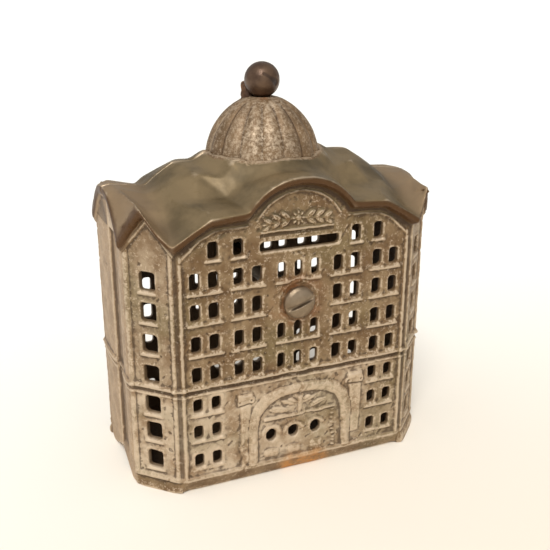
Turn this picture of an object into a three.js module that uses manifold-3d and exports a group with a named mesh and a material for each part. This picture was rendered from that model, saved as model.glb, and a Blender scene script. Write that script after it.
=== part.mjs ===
// A cast iron still bank shaped as a domed bank building. Two thin cast half shells meet at a seam
// across the middle of the depth. One long slotted screw runs through both from the front, and draws
// up a square nut that sits in a recess of the back shell. The stem of a cast ball finial stands in a
// round hole shared by the two halves at the crown of the dome.
//
// Millimetres. +X is right, +Y is back, +Z is up, and the facade looks along -Y. The origin is at the
// centre of the base.

import * as THREE from 'three';
import { mergeVertices } from 'three/addons/utils/BufferGeometryUtils.js';
import Module from 'manifold-3d';

const wasm = await Module();
wasm.setup();

// Plan of the building: a rectangle with 45 degree corner walls
const facadeHalf = 40;
const cornerRun = 12.3;
const halfDepth = 29.6;
const sideHalf = facadeHalf + cornerRun;
const wall = 2.2;
const seamGap = 0.3;
const fitGap = 0.3;
const diagonal = Math.SQRT1_2;
const cornerMitre = Math.tan(Math.PI / 8);

// Eave lip
const lipOut = 3.2;
const sideLipOut = 1.5;
const lipThick = 1.9;
const coveDrop = 3.4;
const lipCornerX = facadeHalf + lipOut * cornerMitre;
const lipY = halfDepth + lipOut;
const lipSideX = sideHalf + sideLipOut;
const lipSideY = halfDepth - cornerRun + sideLipOut * cornerMitre;

// Pediment: a segmental arch over the middle of each long wall, a little lower at the back
const pedimentHalf = 17.4;
const pedimentFoot = 92.6;
const pedimentTop = 101.8;
const backPedimentTop = 99.6;
const pedimentRise = pedimentTop - pedimentFoot;
const pedimentRadius = (pedimentHalf ** 2 + pedimentRise ** 2) / (2 * pedimentRise);
const pedimentTurn = Math.asin(pedimentHalf / pedimentRadius);

// Roof heights
const eaveCorner = 84.6;
const eaveKnee = 91.7;
const kneeX = 29.2;
const eaveSide = 83.6;
const frontCornerTop = 94.2;
const backCornerTop = 91.6;
const sideGableTop = 95;
const ridge = 102.6;
const saddle = 95.6;

// The casting is uneven: the crest over the left end stands this much higher, and the right one lower
const crestLean = 1.7;
const leanStart = 38;
const leanFull = 50;

// Dome and finial
const domeCentre = 101.8;
const domeRadius = 18.8;
const capRise = 1.3;
const domeWall = 2.4;
const fluteCount = 16;
const fluteDepth = 0.9;
const ballRadius = 5.7;
const ballCentre = 126.4;
const stemRadius = 2.2;
const stemHole = 2.5;
const stemFoot = 113.5;
const collarRadius = 3.6;
const collarHeight = 1.6;
const lugTopRadius = 2.1;
const lugFootRadius = 2.6;
const lugTop = 125.1;
const lugLength = 8.4;
const lugX = -3.1;
const lugY = 4.1;

// Windows: columns measured from the middle, rows from the base
const pairColumns = [34, 28];
const innerColumns = [20, 13.9];
const tripleColumns = [5.7, 0];
const fullRows = [72.1, 51.8, 41.5];
const screwRow = 62.2;
const lowRows = [31, 21.6, 11.4];
const atticRow = 81.4;
const atticColumns = [28, 20];
const windowSize = [3.2, 5.4];
const tripleSize = [2.6, 5.4];
const lowSize = [3, 4.6];
const cornerSize = [5.3, 5.9];
const cornerWindowAlong = 9.5;
const windowCorner = 0.6;

// Coin slot and the three small door lights
const slotLength = 26.8;
const slotHeight = 3.2;
const slotCorner = 0.7;
const slotX = 0.4;
const slotZ = 80.4;
const doorColumns = [-9.1, -1.1, 6.9];
const doorZ = 14.9;
const doorSize = [3.6, 4.6];

// Mouldings that run round the walls
const corniceZ = 36.2;
const corniceHeight = 3;
const corniceOut = 0.7;
const plinthTop = 4.6;
const plinthOut = 0.5;

// Bottom: flat, with a shallow pointed arch under each side wall
const archHalf = 17;
const archRise = 5.3;
const archReach = 14;

// Screw and nut
const screwZ = 61;
const headRadius = 5.3;
const headHeight = 3.1;
const headCrown = [[1, 1.2], [0.86, 2.1], [0.55, 2.8], [0.25, headHeight]];
const headSeat = 0.3;
const headSeatRadius = 6.4;
const shankRadius = 3.1;
const shankHole = 3.6;
const screwSlotWidth = 1.3;
const screwSlotDepth = 1.5;
const screwSlotTurn = THREE.MathUtils.degToRad(20);
const nutSide = 11.1;
const nutThick = 5.4;
const nutBore = 3.3;
const nutSink = 2.6;
const bossSide = 16.4;
const bossDepth = 3.2;

const castIron = new THREE.MeshStandardMaterial({ color: 0x7d6c55, roughness: 0.55, metalness: 0.7 });
const darkIron = new THREE.MeshStandardMaterial({ color: 0x4a3a30, roughness: 0.5, metalness: 0.7 });
const wornSteel = new THREE.MeshStandardMaterial({ color: 0x85807a, roughness: 0.42, metalness: 0.9 });

// ---------------------------------------------------------------- solids and meshes

function solid(geometry) {
  const bare = geometry.clone();
  bare.deleteAttribute('normal');
  bare.deleteAttribute('uv');
  const merged = mergeVertices(bare, 1e-4);
  return new wasm.Manifold(new wasm.Mesh({
    numProp: 3,
    vertProperties: new Float32Array(merged.attributes.position.array),
    triVerts: new Uint32Array(merged.index.array),
  }));
}

function named(name, body, material) {
  const { vertProperties, triVerts } = body.getMesh();
  const geometry = new THREE.BufferGeometry();
  geometry.setAttribute('position', new THREE.BufferAttribute(vertProperties, 3));
  geometry.setIndex(new THREE.BufferAttribute(triVerts, 1));
  geometry.computeVertexNormals();
  const mesh = new THREE.Mesh(geometry, material);
  mesh.name = name;
  return mesh;
}

function union(parts) {
  return parts.reduce((whole, part) => whole.add(part));
}

function block(x0, x1, y0, y1, z0, z1) {
  const box = new THREE.BoxGeometry(x1 - x0, y1 - y0, z1 - z0);
  return solid(box.translate((x0 + x1) / 2, (y0 + y1) / 2, (z0 + z1) / 2));
}

// A round bar along Y
function bar(radius, y0, y1, x, z, sides = 24) {
  const geometry = new THREE.CylinderGeometry(radius, radius, y1 - y0, sides);
  return solid(geometry.translate(x, (y0 + y1) / 2, z));
}

// A round post on the axis of the dome
function post(radius, z0, z1) {
  const geometry = new THREE.CylinderGeometry(radius, radius, z1 - z0, 20);
  return solid(geometry.rotateX(Math.PI / 2).translate(0, 0, (z0 + z1) / 2));
}

// An outline of [x, z] points drawn on the facade and carried from y0 back to y1
function along(outline, y0, y1) {
  const shape = new THREE.Shape(outline.map(([x, z]) => new THREE.Vector2(x, z)));
  const geometry = new THREE.ExtrudeGeometry(shape, { depth: y1 - y0, bevelEnabled: false });
  return geometry.rotateX(Math.PI / 2).translate(0, y1, 0);
}

// A plan outline of [x, y] points raised from z0 to z1
function raised(outline, z0, z1) {
  const shape = new THREE.Shape(outline.map(([x, y]) => new THREE.Vector2(x, y)));
  const geometry = new THREE.ExtrudeGeometry(shape, { depth: z1 - z0, bevelEnabled: false });
  return solid(geometry.translate(0, 0, z0));
}

function plan(grow) {
  const x = sideHalf + grow;
  const y = halfDepth + grow;
  const cx = facadeHalf + grow * cornerMitre;
  const cy = halfDepth - cornerRun + grow * cornerMitre;
  return [[cx, -y], [x, -cy], [x, cy], [cx, y], [-cx, y], [-x, cy], [-x, -cy], [-cx, -y]];
}

// ---------------------------------------------------------------- outer body

// A point over the corner wall: s runs from the facade corner, out is the distance proud of the wall
function cornerPoint(s, out, z) {
  return [
    facadeHalf + (s + out) * diagonal,
    halfDepth - (s - out) * diagonal,
    z,
  ];
}

// A point of the pediment's arc, or of an arc like it further back: share runs from 0 at the middle
// to 1 at the foot
function pedimentPoint(share, half, y, foot, top) {
  const turn = share * pedimentTurn;
  const x = half * Math.sin(turn) / Math.sin(pedimentTurn);
  const drop = (top - foot) * (1 - Math.cos(turn)) / (1 - Math.cos(pedimentTurn));
  return [x, y, top - drop];
}

// Roof of one quarter of the plan, given the tops of its corner gable and of its pediment. Each column
// runs from the eave lip up to the seam plane, and the columns go from the middle of the facade round
// to the side gable.
const cornerWall = cornerRun / diagonal;
const roofColumns = (cornerTop, archTop) => [
  ...[0, 0.17, 0.34, 0.51, 0.68, 0.84].map((share) => [
    pedimentPoint(share, pedimentHalf, lipY, pedimentFoot, archTop),
    pedimentPoint(share, 18, 28, 93.4, archTop + 0.3),
    pedimentPoint(share, 19.3, 20, 94.2, archTop + 0.3),
    [share * 19, 14, archTop + 0.2],
    [share * 19, 0, ridge],
  ]),
  [[pedimentHalf, lipY, pedimentFoot], [18, 28, 93.4], [19.7, 19.6, 94.2], [19.3, 15.4, 99.6],
    [19, 0, ridge]],
  [[kneeX, lipY, eaveKnee], [29.4, 28, 93.2], [29.6, 19.8, 94.6], [26.6, 11.6, 100.6], [25, 0, ridge]],
  [[35.6, lipY, 88], [34.9, 27, 90.2], [36.2, 17.2, 94.4], [33.6, 8, 99], [30.6, 0, ridge]],
  [[lipCornerX, lipY, eaveCorner], [40, 26, 87], [39.4, 18, 91.4], [38.6, 9, 95.8], [36, 0, 99.2]],
  [cornerPoint(3.4, lipOut, 88.2), [42.9, 24.8, 88.4], [43.8, 16.6, 91.6], [41.4, 7.4, 94.2],
    [40, 0, saddle]],
  [cornerPoint(cornerWall / 2, lipOut, cornerTop), [48.5, 20.4, cornerTop + 0.2],
    [49.4, 13.6, (cornerTop + saddle) / 2], [50.2, 6, 95.3], [50.8, 0, saddle]],
  [cornerPoint(13.6, 2.4, 88.8), [51, 17.4, 90.4], [51.8, 12, 92.8], [52.2, 6, 94.7], [52.4, 0, 95.3]],
  [[lipSideX, lipSideY, eaveSide], [lipSideX, 13.8, 88], [lipSideX, 10.2, 91.4], [lipSideX, 5.8, 94.2],
    [lipSideX, 0, sideGableTop]],
];

// The point of the wall under a point of the lip
function underLip([x, y, z]) {
  const top = z - coveDrop;
  if (x <= lipCornerX + 1e-6 && y > halfDepth) {
    return [Math.min(x, facadeHalf), halfDepth, top];
  }
  if (x >= lipSideX - 1e-6) {
    return [sideHalf, Math.min(y, halfDepth - cornerRun), top];
  }
  const s = (x - y - facadeHalf + halfDepth) * diagonal;
  return cornerPoint(s, 0, top);
}

function quarterFaces(columns) {
  const faces = [];
  const quad = (a, b, c, d) => faces.push([a, b, c], [a, c, d]);
  const last = columns.length - 1;
  for (let j = 0; j < last; j++) {
    for (let i = 0; i < 4; i++) {
      quad(columns[j][i], columns[j][i + 1], columns[j + 1][i + 1], columns[j + 1][i]);
    }
  }
  const rim = [...columns.map((column) => column[0]), ...columns[last].slice(1)];
  const lower = rim.map(([x, y, z]) => [x, y, z - lipThick]);
  const top = rim.map(underLip);
  const foot = top.map(([x, y]) => [x, y, 0]);
  for (let j = 0; j + 1 < rim.length; j++) {
    for (const [upper, under] of [[rim, lower], [lower, top], [top, foot]]) {
      quad(upper[j], upper[j + 1], under[j + 1], under[j]);
    }
    faces.push([foot[j], foot[j + 1], [0, 0, 0]]);
  }
  return faces;
}

// How far a roof point over the left or the right end is raised or lowered
function leanOf(x, z) {
  const outward = THREE.MathUtils.clamp((Math.abs(x) - leanStart) / (leanFull - leanStart), 0, 1);
  const upward = THREE.MathUtils.clamp((z - eaveCorner) / (sideGableTop - eaveCorner), 0, 1);
  return -Math.sign(x) * crestLean * outward * upward;
}

function outerBody() {
  const corners = [];
  const halves = [[-1, frontCornerTop, pedimentTop], [1, backCornerTop, backPedimentTop]];
  for (const [sy, cornerTop, archTop] of halves) {
    const faces = quarterFaces(roofColumns(cornerTop, archTop));
    for (const sx of [1, -1]) {
      for (const [a, b, c] of faces) {
        const turned = sx * sy > 0 ? [a, b, c] : [a, c, b];
        turned.forEach(([x, y, z]) => corners.push(sx * x, sy * y, z + leanOf(sx * x, z)));
      }
    }
  }
  const geometry = new THREE.BufferGeometry();
  geometry.setAttribute('position', new THREE.Float32BufferAttribute(corners, 3));
  return solid(geometry);
}

// Half ball with raised gadroons between sharp grooves, closed below by a plug inside the roof
function domeSolid() {
  const steps = 9;
  const domeHeight = domeRadius + capRise;
  const profile = [new THREE.Vector2(0, -4), new THREE.Vector2(domeRadius - 1, -4)];
  for (let i = 0; i < steps; i++) {
    const rise = (i / steps) * Math.PI / 2;
    const up = Math.sin(rise);
    profile.push(new THREE.Vector2(domeRadius * Math.cos(rise), domeRadius * up + capRise * up ** 4));
  }
  profile.push(new THREE.Vector2(0, domeHeight));
  const geometry = new THREE.LatheGeometry(profile, fluteCount * 4);
  const at = geometry.attributes.position;
  for (let i = 0; i < at.count; i++) {
    const angle = Math.atan2(at.getX(i), at.getZ(i));
    const height = at.getY(i) / domeHeight;
    const fade = height < 0 ? 0 : Math.min(1, 2.6 * (1 - height));
    const reach = Math.hypot(at.getX(i), at.getZ(i));
    if (reach > 1e-6) {
      const groove = 1 - Math.abs(Math.sin(angle * fluteCount / 2));
      const share = 1 - fluteDepth * fade * groove / reach;
      at.setX(i, at.getX(i) * share);
      at.setZ(i, at.getZ(i) * share);
    }
  }
  return solid(geometry.rotateX(Math.PI / 2)).translate([0, 0, domeCentre]);
}

function mouldings() {
  const cornice = raised(plan(corniceOut), corniceZ - corniceHeight / 2, corniceZ + corniceHeight / 2);
  const plinth = raised(plan(plinthOut), 0, plinthTop);
  return cornice.add(plinth);
}

// A wedge that lifts the bottom edge of one side wall, deepest at the seam
function sideArch(side, rise) {
  const far = sideHalf + 4;
  const half = archHalf * rise / archRise;
  const slope = rise / archReach;
  const points = [
    [far, -half, -0.5], [far, half, -0.5], [far, 0, rise + slope * 4], [sideHalf - archReach, 0, -0.5],
  ].map(([x, y, z]) => new THREE.Vector3(side * x, y, z));
  const order = side > 0 ? [0, 1, 2, 0, 3, 1, 0, 2, 3, 1, 3, 2] : [0, 2, 1, 0, 1, 3, 0, 3, 2, 1, 2, 3];
  const geometry = new THREE.BufferGeometry().setFromPoints(order.map((i) => points[i]));
  return solid(geometry);
}

// ---------------------------------------------------------------- inner hollow

function hollow() {
  const inside = halfDepth - wall;
  const span = sideHalf - wall;
  const facadeProfile = [
    [-38.4, 60], [38.4, 60], [38.4, 82.2], [28, 88.4], [16, 88.8], [12.6, 91.8], [6.8, 95.6], [0, 97],
    [-6.8, 95.6], [-12.6, 91.8], [-16, 88.8], [-28, 88.4], [-38.4, 82.2],
  ];
  const sideProfile = [[-15, 60], [15, 60], [15, 81.6], [9, 87.6], [0, 91], [-9, 87.6], [-15, 81.6]];
  const across = along(sideProfile, -span, span).rotateZ(Math.PI / 2);
  const upper = frustum([30, 17], [25.2, 9.8], 88, 98.4);
  const dome = new THREE.SphereGeometry(domeRadius - fluteDepth - domeWall + 0.6, 32, 20);
  return union([
    raised(plan(-wall), wall, 81),
    solid(along(facadeProfile, -inside, inside)),
    solid(across),
    upper,
    solid(dome.rotateX(Math.PI / 2).translate(0, 0, domeCentre)),
  ]);
}

// A straight sided block that narrows from one half size to another
function frustum([ax, ay], [bx, by], z0, z1) {
  const geometry = new THREE.BoxGeometry(2, 2, 2);
  const at = geometry.attributes.position;
  for (let i = 0; i < at.count; i++) {
    const high = at.getZ(i) > 0;
    at.setXYZ(i, at.getX(i) * (high ? bx : ax), at.getY(i) * (high ? by : ay), high ? z1 : z0);
  }
  return solid(geometry);
}

// ---------------------------------------------------------------- windows

function opening([width, height], corner) {
  const [w, h, c] = [width / 2, height / 2, corner];
  return [
    [-w + c, -h], [w - c, -h], [w, -h + c], [w, h - c],
    [w - c, h], [-w + c, h], [-w, h - c], [-w, -h + c],
  ];
}

function cutter(size, x, z, corner = windowCorner) {
  const outline = opening(size, corner).map(([u, v]) => [x + u, z + v]);
  return along(outline, -halfDepth - 2, -halfDepth + wall + 1);
}

function cornerCutter(z, side) {
  const geometry = cutter(cornerSize, 0, 0).translate(0, halfDepth, z).rotateZ(side * Math.PI / 4);
  const [x, y] = cornerPoint(cornerWindowAlong, 0, z);
  return solid(geometry.translate(side * x, -y, 0));
}

// Every opening of one half, on its outer face at -Y
function halfWindows(hasSlot) {
  const holes = [];
  const put = (columns, row, size) => {
    for (const x of columns) {
      holes.push(solid(cutter(size, x, row)));
      if (x > 0) {
        holes.push(solid(cutter(size, -x, row)));
      }
    }
  };
  for (const row of fullRows) {
    put([...pairColumns, ...innerColumns], row, windowSize);
    put(tripleColumns, row, tripleSize);
  }
  put([...pairColumns, ...innerColumns], screwRow, windowSize);
  lowRows.forEach((row) => put(pairColumns, row, lowSize));
  put(atticColumns, atticRow, windowSize);
  for (const row of [...fullRows, screwRow, ...lowRows]) {
    holes.push(cornerCutter(row, 1), cornerCutter(row, -1));
  }
  if (hasSlot) {
    holes.push(solid(cutter([slotLength, slotHeight], slotX, slotZ, slotCorner)));
  }
  doorColumns.forEach((x) => holes.push(solid(cutter(doorSize, x, doorZ, 1.2))));
  return union(holes);
}

// ---------------------------------------------------------------- the pieces

function finialSeat() {
  const ball = new THREE.SphereGeometry(ballRadius + fitGap, 24, 16).rotateX(Math.PI / 2);
  return union([
    solid(ball.translate(0, 0, ballCentre)),
    post(stemHole, domeCentre, ballCentre),
    lug(fitGap),
  ]);
}

// The rough stub of the casting gate that leans against the ball behind its left side
function lug(grow) {
  const length = lugLength + grow;
  const geometry = new THREE.CylinderGeometry(lugTopRadius + grow, lugFootRadius + grow, length, 10);
  return solid(geometry.rotateX(Math.PI / 2).translate(lugX, lugY, lugTop - length / 2));
}

function shellBlank() {
  const outer = outerBody().add(domeSolid()).add(mouldings());
  const scooped = outer.subtract(sideArch(1, archRise)).subtract(sideArch(-1, archRise));
  const inner = hollow()
    .subtract(sideArch(1, archRise + wall))
    .subtract(sideArch(-1, archRise + wall));
  return scooped.subtract(inner).subtract(finialSeat());
}

function frontShell(blank) {
  const half = block(-80, 80, -80, -seamGap / 2, -5, 160);
  const seat = bar(headSeatRadius, -halfDepth - 1, -halfDepth + headSeat, 0, screwZ);
  const hole = bar(shankHole, -halfDepth - 3, -halfDepth + 6, 0, screwZ);
  return blank.intersect(half).subtract(halfWindows(true)).subtract(seat).subtract(hole);
}

function backShell(blank) {
  const half = block(-80, 80, seamGap / 2, 80, -5, 160);
  const windows = halfWindows(false).rotate([0, 0, 180]);
  const inner = halfDepth - wall;
  const h = bossSide / 2;
  const boss = block(-h, h, inner - bossDepth, inner + 0.5, screwZ - h, screwZ + h);
  const n = nutSide / 2 + fitGap;
  const recess = block(-n, n, halfDepth - nutSink, halfDepth + 5, screwZ - n, screwZ + n);
  const hole = bar(shankHole, inner - bossDepth - 1, halfDepth, 0, screwZ);
  return blank.intersect(half).subtract(windows).add(boss).subtract(recess).subtract(hole);
}

function assemblyScrew() {
  const back = -halfDepth;
  const dome = new THREE.LatheGeometry([
    new THREE.Vector2(0, 0),
    new THREE.Vector2(headRadius, 0),
    ...headCrown.map(([share, height]) => new THREE.Vector2(headRadius * share, height)),
    new THREE.Vector2(0, headHeight),
  ], 32);
  const head = solid(dome.rotateX(Math.PI)).translate([0, back, screwZ]);
  const tip = halfDepth - nutSink + fitGap + nutThick;
  const slot = block(-8, 8, back - headHeight - 1, back - headHeight + screwSlotDepth,
    -screwSlotWidth / 2, screwSlotWidth / 2)
    .rotate([0, -THREE.MathUtils.radToDeg(screwSlotTurn), 0])
    .translate([0, 0, screwZ]);
  return head.add(bar(shankRadius, back - 0.5, tip, 0, screwZ)).subtract(slot);
}

function squareNut() {
  const y = halfDepth - nutSink + fitGap;
  const n = nutSide / 2;
  const body = block(-n, n, y, y + nutThick, screwZ - n, screwZ + n);
  return body.subtract(bar(nutBore, y - 1, y + nutThick + 1, 0, screwZ));
}

function finialBall() {
  const ball = new THREE.SphereGeometry(ballRadius, 32, 20).rotateX(Math.PI / 2);
  return union([
    solid(ball.translate(0, 0, ballCentre)),
    post(stemRadius, stemFoot, ballCentre),
    post(collarRadius, stemFoot, stemFoot + collarHeight),
    lug(0),
  ]);
}

const blank = shellBlank();
const bank = new THREE.Group();
bank.add(
  named('front_shell', frontShell(blank), castIron),
  named('back_shell', backShell(blank), castIron),
  named('assembly_screw', assemblyScrew(), wornSteel),
  named('square_nut', squareNut(), wornSteel),
  named('finial_ball', finialBall(), darkIron),
);

export default bank;
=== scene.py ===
import math

import bmesh
import bpy
import numpy as np
from mathutils import Euler, Matrix, Vector


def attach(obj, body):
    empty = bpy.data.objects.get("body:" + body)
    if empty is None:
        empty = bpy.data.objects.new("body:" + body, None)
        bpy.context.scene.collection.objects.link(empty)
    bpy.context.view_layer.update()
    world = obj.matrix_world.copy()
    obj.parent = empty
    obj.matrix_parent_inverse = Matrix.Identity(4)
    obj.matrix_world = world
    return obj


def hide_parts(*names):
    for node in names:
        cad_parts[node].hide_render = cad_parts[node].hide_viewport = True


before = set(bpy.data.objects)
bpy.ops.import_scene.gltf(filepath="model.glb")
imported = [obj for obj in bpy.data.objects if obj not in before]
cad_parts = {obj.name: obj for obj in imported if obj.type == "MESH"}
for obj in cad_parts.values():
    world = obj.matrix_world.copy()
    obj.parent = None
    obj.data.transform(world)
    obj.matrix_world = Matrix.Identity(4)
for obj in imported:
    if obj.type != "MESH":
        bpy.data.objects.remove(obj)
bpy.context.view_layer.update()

MM = 0.001
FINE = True

# Walls, as the CAD model has them
FACADE_HALF = 40.0
CORNER_RUN = 12.3
HALF_DEPTH = 29.6
WALL = 2.2
SIDE_HALF = FACADE_HALF + CORNER_RUN
CORNER_WALL = CORNER_RUN * math.sqrt(2)
LIP_Y = 32.8
GABLE_TOP = 94.2
PEDIMENT_HALF = 17.4
PEDIMENT_FOOT = 92.6
PEDIMENT_TOP = 101.8
DOME_CENTRE = 101.8
DOME_RADIUS = 18.8
CAP_RISE = 1.3
FLUTES = 16
SCREW_Z = 61.0

# How the halves are finished: what is left of the seam, and the largest number of triangles in each
SEAM_CLOSED = 0.12
SHELL_TRIANGLES = 186000

# Windows: columns and rows, then half widths and heights
PAIRS = (34.0, 28.0)
INNER = (20.0, 13.9)
TRIPLE = (-5.7, 0.0, 5.7)
FULL_ROWS = (72.1, 51.8, 41.5)
SCREW_ROW = 62.2
LOW_ROWS = (31.0, 21.6, 11.4)
ATTIC_ROW = 81.4
ATTIC = (28.0, 20.0)
CORNER_ALONG = 9.5
DOORS = (-9.1, -1.1, 6.9)
DOOR_Z = 14.9
FULL_HALF = (1.6, 2.7)
TRIPLE_HALF = (1.3, 2.7)
LOW_HALF = (1.5, 2.3)
CORNER_HALF = (2.65, 2.95)
SLOT_CENTRE = (0.4, 80.4)
SLOT_HALF = (13.4, 1.6)


# ---------------------------------------------------------------- numbers on arrays

def ease(value, low, high):
    """0 below low, 1 above high, smooth between."""
    t = np.clip((value - low) / (high - low), 0, 1)
    return t * t * (3 - 2 * t)


def bump(distance, half):
    """A rounded ridge, 1 at distance 0 and 0 from half outwards."""
    return np.clip(1 - (distance / half) ** 2, 0, 1)


def box_distance(u, v, centre, half, corner=0.6):
    """Distance to a round-cornered rectangle, negative inside it."""
    du = np.abs(u - centre[0]) - half[0] + corner
    dv = np.abs(v - centre[1]) - half[1] + corner
    outside = np.hypot(np.maximum(du, 0), np.maximum(dv, 0))
    return outside + np.minimum(np.maximum(du, dv), 0) - corner


def path_distance(u, v, points):
    """Distance to a line through the points."""
    best = np.full(u.shape, 1e9)
    for (au, av), (bu, bv) in zip(points, points[1:]):
        lu, lv = bu - au, bv - av
        t = np.clip(((u - au) * lu + (v - av) * lv) / (lu * lu + lv * lv), 0, 1)
        best = np.minimum(best, np.hypot(u - au - t * lu, v - av - t * lv))
    return best


def lattice(ix, iy, iz, seed):
    """A repeatable random value from 0 to 1 at each whole-number point."""
    with np.errstate(over="ignore"):
        n = (ix.astype(np.uint32) * np.uint32(374761393) + iy.astype(np.uint32) * np.uint32(668265263)
             + iz.astype(np.uint32) * np.uint32(2147483647) + np.uint32(seed * 144665))
        n = (n ^ (n >> np.uint32(13))) * np.uint32(1274126177)
        n = n ^ (n >> np.uint32(16))
    return (n & np.uint32(0xFFFF)).astype(float) / 65535


LATTICE_TURN = np.array(Euler((0.7, 0.5, 0.9)).to_matrix())


def noise(points, size, seed):
    """Smooth random values from -1 to 1 that vary over about size millimetres."""
    q = points @ LATTICE_TURN / size
    base = np.floor(q).astype(np.int64)
    f = q - base
    f = f * f * (3 - 2 * f)
    total = np.zeros(len(points))
    for dx in (0, 1):
        for dy in (0, 1):
            for dz in (0, 1):
                weight = (np.abs(1 - dx - f[:, 0]) * np.abs(1 - dy - f[:, 1]) * np.abs(1 - dz - f[:, 2]))
                total += weight * lattice(base[:, 0] + dx, base[:, 1] + dy, base[:, 2] + dz, seed)
    return total * 2 - 1


# ---------------------------------------------------------------- meshes in millimetres

SHELL_VOXEL = 0.36
SCREW_VOXEL = 0.2
NUT_VOXEL = 0.16
BALL_VOXEL = 0.26
QUICK_VOXEL = 1.7
SMOOTHING = 0.6


def coords(mesh):
    flat = np.empty(len(mesh.vertices) * 3)
    mesh.vertices.foreach_get("co", flat)
    return flat.reshape(-1, 3)


def set_coords(mesh, points):
    mesh.vertices.foreach_set("co", points.ravel())
    mesh.update()


def add_object(name, data):
    made = bpy.data.objects.new(name, data)
    bpy.context.scene.collection.objects.link(made)
    return made


def apply_modifiers(piece):
    depsgraph = bpy.context.evaluated_depsgraph_get()
    made = bpy.data.meshes.new_from_object(piece.evaluated_get(depsgraph))
    piece.modifiers.clear()
    old = piece.data
    piece.data = made
    bpy.data.meshes.remove(old)


def working_copy(node, name):
    """A new object with the CAD node's mesh, welded and in millimetres."""
    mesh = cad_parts[node].data.copy()
    mesh.transform(Matrix.Scale(1 / MM, 4))
    bm = bmesh.new()
    bm.from_mesh(mesh)
    bmesh.ops.remove_doubles(bm, verts=bm.verts, dist=0.001)
    bm.to_mesh(mesh)
    bm.free()
    mesh.materials.clear()
    return add_object(name, mesh)


def remesh(piece, voxel):
    modifier = piece.modifiers.new("voxels", "REMESH")
    modifier.mode = "VOXEL"
    modifier.voxel_size = voxel if FINE else voxel * QUICK_VOXEL
    modifier.use_smooth_shade = True
    apply_modifiers(piece)


def thin_out(piece, triangles):
    """Joins small faces where the surface is flat, until about this many triangles are left."""
    now = sum(len(p.vertices) - 2 for p in piece.data.polygons)
    if now > triangles:
        modifier = piece.modifiers.new("thin", "DECIMATE")
        modifier.ratio = triangles / now
        apply_modifiers(piece)


def neighbours(mesh):
    """Every point beside each of its neighbours, as two lists of indices."""
    ends = np.empty(len(mesh.edges) * 2, int)
    mesh.edges.foreach_get("vertices", ends)
    first, second = ends.reshape(-1, 2).T
    return np.concatenate([first, second]), np.concatenate([second, first])


def neighbour_sum(point, neighbour, values):
    return np.stack([np.bincount(point, values[neighbour, k], len(values)) for k in range(3)], 1)


def smooth(mesh, points, weight, rounds):
    """Moves each point towards the mean of its neighbours, as far as its weight says."""
    chosen = weight > 0.001
    if not chosen.any():
        return points
    point, neighbour = neighbours(mesh)
    keep = chosen[point]
    point, neighbour = point[keep], neighbour[keep]
    count = np.bincount(point, minlength=len(points))[chosen]
    strength = weight[chosen, None] * SMOOTHING
    points = points.copy()
    for _ in range(rounds):
        mean = neighbour_sum(point, neighbour, points)[chosen] / count[:, None]
        points[chosen] += strength * (mean - points[chosen])
    return points


def smooth_all(mesh, points, weight, rounds):
    return smooth(mesh, points, np.full(len(points), weight), rounds)


def normals(mesh):
    flat = np.empty(len(mesh.vertices) * 3)
    mesh.vertices.foreach_get("normal", flat)
    return flat.reshape(-1, 3)


def attribute(mesh, name, values):
    made = mesh.attributes.new(name, "FLOAT", "POINT")
    made.data.foreach_set("value", values.astype(np.float32))


def close_piece(piece, body, node):
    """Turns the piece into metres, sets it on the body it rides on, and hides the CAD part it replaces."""
    for polygon in piece.data.polygons:
        polygon.use_smooth = True
    piece.data.transform(Matrix.Scale(MM, 4))
    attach(piece, body)
    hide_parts(node)


# ---------------------------------------------------------------- relief of the facade

PEDIMENT_RISE = PEDIMENT_TOP - PEDIMENT_FOOT
PEDIMENT_RADIUS = (PEDIMENT_HALF ** 2 + PEDIMENT_RISE ** 2) / (2 * PEDIMENT_RISE)
PEDIMENT_CENTRE = PEDIMENT_TOP - PEDIMENT_RADIUS
EAVE_X = (PEDIMENT_HALF, 29.2, 35.6, 41.4)
EAVE_Z = (PEDIMENT_FOOT, 91.7, 88.0, 84.6)
COVE = 3.4
PLINTH_TOP = 5.0
SCREW_RING = 6.9
NUT_RECESS_HALF = (6.6, 6.6)

# The upright bead near each end of the facade, and the grooves beside it
EDGE_BEAD = 38.6
INNER_GROOVE = 37.3
OUTER_GROOVE = 40.1

# Profiles: places across a moulding, and how far the metal stands out there
LEDGE_ABOVE = (-2.1, -1.5, -0.45, -0.1, 0.2, 1.2)
LEDGE_OUT = (0.0, -0.7, -0.65, 0.5, 0.6, 0.0)
CORNICE_Z = (33.4, 34.3, 34.7, 35.0, 35.5, 36.5, 36.95, 37.35, 38.5)
CORNICE_OUT = (0.0, 0.05, 0.4, 0.3, -0.25, -0.1, 0.95, 0.9, 0.0)
PLINTH_Z = (0.0, 0.35, 1.2, 2.6, 4.0, 4.6, 5.0, 6.0)
PLINTH_OUT = (-1.4, -1.15, -0.8, -0.3, 0.35, 0.7, 0.55, 0.0)
FOOT_Z = (0.0, 2.5, 4.2, 4.7, 5.2, 6.5)
FOOT_OUT = (1.0, 0.9, 0.35, 0.75, 0.6, 0.0)
ARCH_AWAY = (-3.3, -2.5, -1.9, -1.5, -0.6, 0.5, 1.6, 2.1)
ARCH_OUT = (-0.45, -0.6, -0.6, 0.45, 0.85, 0.8, 0.4, 0.0)

# Sills: half length, and how far the top lies under the middle of the windows
PAIR_SILL = (6.2, 4.15)
TRIPLE_SILL = (8.1, 4.15)
LOW_SILL = (5.9, 3.7)
FOOT_SILL = (5.7, 3.5)
ATTIC_SILL = (2.9, 3.6)
CORNER_SILL = (3.6, 4.1)

# The ornament: its middle, then how far out and up each leaf lies, its half length and its turn
ORNAMENT = (-0.4, 88.6)
LAUREL = ((4.3, 1.0, 2.3, 38), (4.4, -1.3, 2.2, -34), (7.2, 0.7, 2.2, 36),
          (7.3, -1.5, 2.1, -32), (9.9, -0.1, 2.0, 30), (10.3, -2.1, 1.8, -26))

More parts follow.
